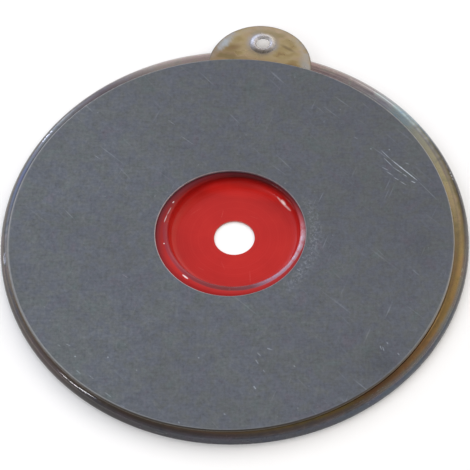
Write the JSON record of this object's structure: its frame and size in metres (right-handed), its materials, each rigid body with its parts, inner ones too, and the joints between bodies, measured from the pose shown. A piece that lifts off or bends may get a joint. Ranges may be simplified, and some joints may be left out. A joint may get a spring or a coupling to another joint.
{
  "type": "round lifting magnet",
  "caption": "Thin round magnet with a flat grey holding face, a red dished centre with an eyebolt hole, a rounded plated rim and a flat hanging tab.",
  "frame": {"origin": "on the axis of the eyebolt hole, in the base plane: the underside of the dish and of the shell's rolled-in edge", "axes": "+Z along the eyebolt hole, towards the holding face; +Y towards the hanging tab; +X completes a right-handed set"},
  "size_m": [0.15, 0.1596, 0.0064],
  "materials": {
    "face_steel": "matt grey stainless steel, fine rubbed grain, scratched",
    "yellow_plating": "bright zinc plating with a yellow, slightly iridescent passivation",
    "nickel": "bright nickel plating",
    "red_coating": "glossy red paint on pressed steel",
    "adhesive": "dark cured adhesive",
    "pole_steel": "turned mild steel",
    "ferrite": "ground dark grey ferrite",
    "resin": "black casting resin",
    "back_plating": "zinc plated steel sheet with a yellow passivation",
    "rivet_steel": "bright zinc plated steel"
  },
  "bodies": {
    "root": {"face_plate": "face_steel", "bond_ring": "adhesive", "rim_shell": "yellow_plating", "hang_tab": "yellow_plating", "tab_eyelet": "nickel", "centre_dish": "red_coating", "inner_pole_ring": "pole_steel", "outer_pole_ring": "pole_steel", "magnet_01": "ferrite", "magnet_02": "ferrite", "magnet_03": "ferrite", "magnet_04": "ferrite", "magnet_05": "ferrite", "magnet_06": "ferrite", "magnet_07": "ferrite", "magnet_08": "ferrite", "magnet_09": "ferrite", "magnet_10": "ferrite", "magnet_11": "ferrite", "magnet_12": "ferrite", "potting": "resin", "back_plate": "back_plating", "back_rivets": "rivet_steel"}
  },
  "joints": []
}
